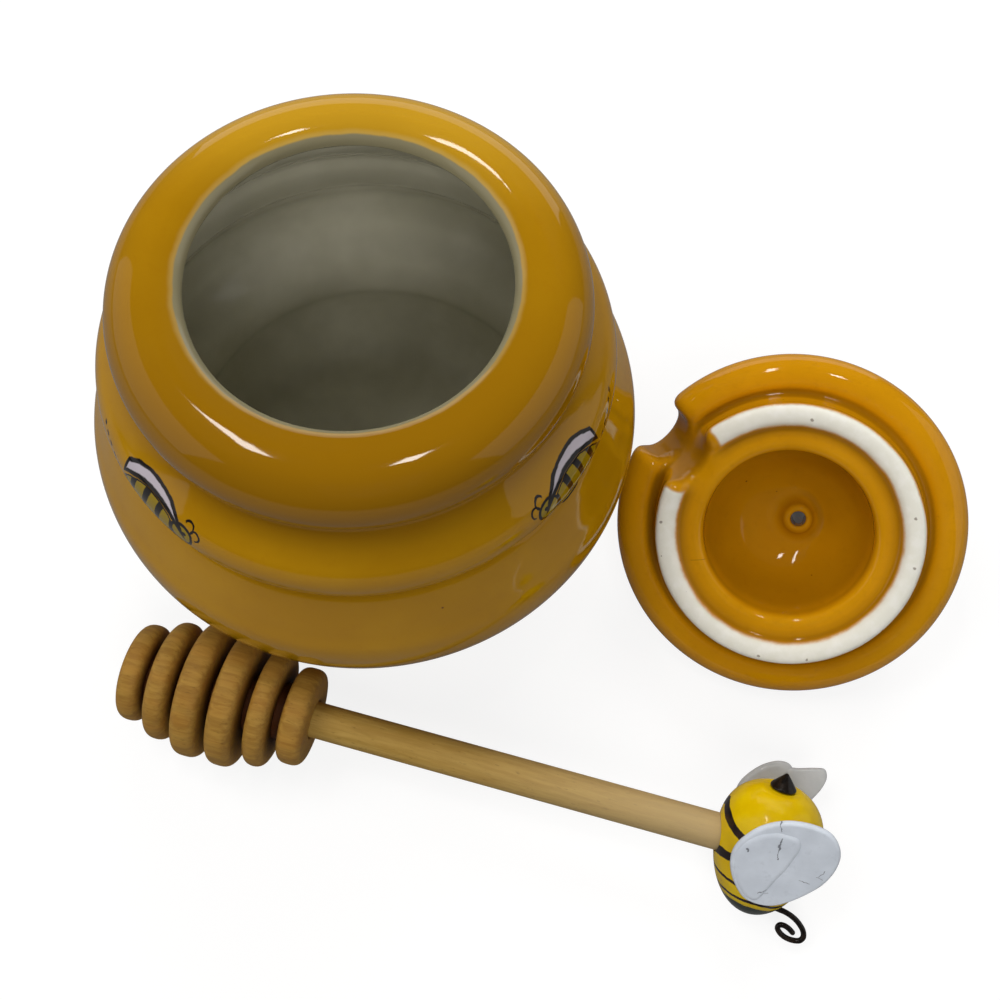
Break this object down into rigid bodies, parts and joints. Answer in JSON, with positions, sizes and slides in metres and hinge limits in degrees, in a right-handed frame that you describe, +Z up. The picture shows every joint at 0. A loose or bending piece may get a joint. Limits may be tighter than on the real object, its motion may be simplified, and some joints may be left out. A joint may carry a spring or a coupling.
{
  "type": "honey pot with lid and dipper",
  "caption": "Glazed stacked-roll beehive honey pot, its notched lift-off lid lying upside down beside it, and a wooden honey dipper with a ceramic bee on its end.",
  "frame": {"origin": "on the table under the middle of the set's footprint, as the pieces lie in rest pose", "axes": "+Z up; +X from the pot towards the lid beside it, along the longest extent; +Y away from the dipper, towards the back of the pot"},
  "size_m": [0.1926, 0.16, 0.0995],
  "materials": {
    "amber_glaze": "glossy amber glaze, pale grey glaze inside the pot, unglazed white ring under the lid",
    "turned_beech": "turned, unvarnished",
    "dowel_beech": "sanded dowel, unvarnished",
    "yellow_glaze": "glossy, with painted dark stripes",
    "black_glaze": "glossy",
    "white_glaze": "glossy",
    "black_wire": "glossy black enamel on wire"
  },
  "bodies": {
    "pot": {"pot_body": "amber_glaze"},
    "lid": {"lid": "amber_glaze"},
    "dipper": {"dipper_head": "turned_beech", "dipper_handle": "dowel_beech", "bee_body": "yellow_glaze", "bee_stinger": "black_glaze", "bee_wing_right": "white_glaze", "bee_wing_left": "white_glaze", "bee_antenna_right": "black_wire", "bee_antenna_left": "black_wire"}
  },
  "joints": [
    {"name": "lid_lift", "type": "slide", "parent": "pot", "child": "lid", "axis": [0.2999, -0.1, 0.9487], "range_m": [0, 0.12]},
    {"name": "dipper_lift", "type": "slide", "parent": "pot", "child": "dipper", "axis": [0, -0.7071, 0.7071], "range_m": [0, 0.12]}
  ]
}
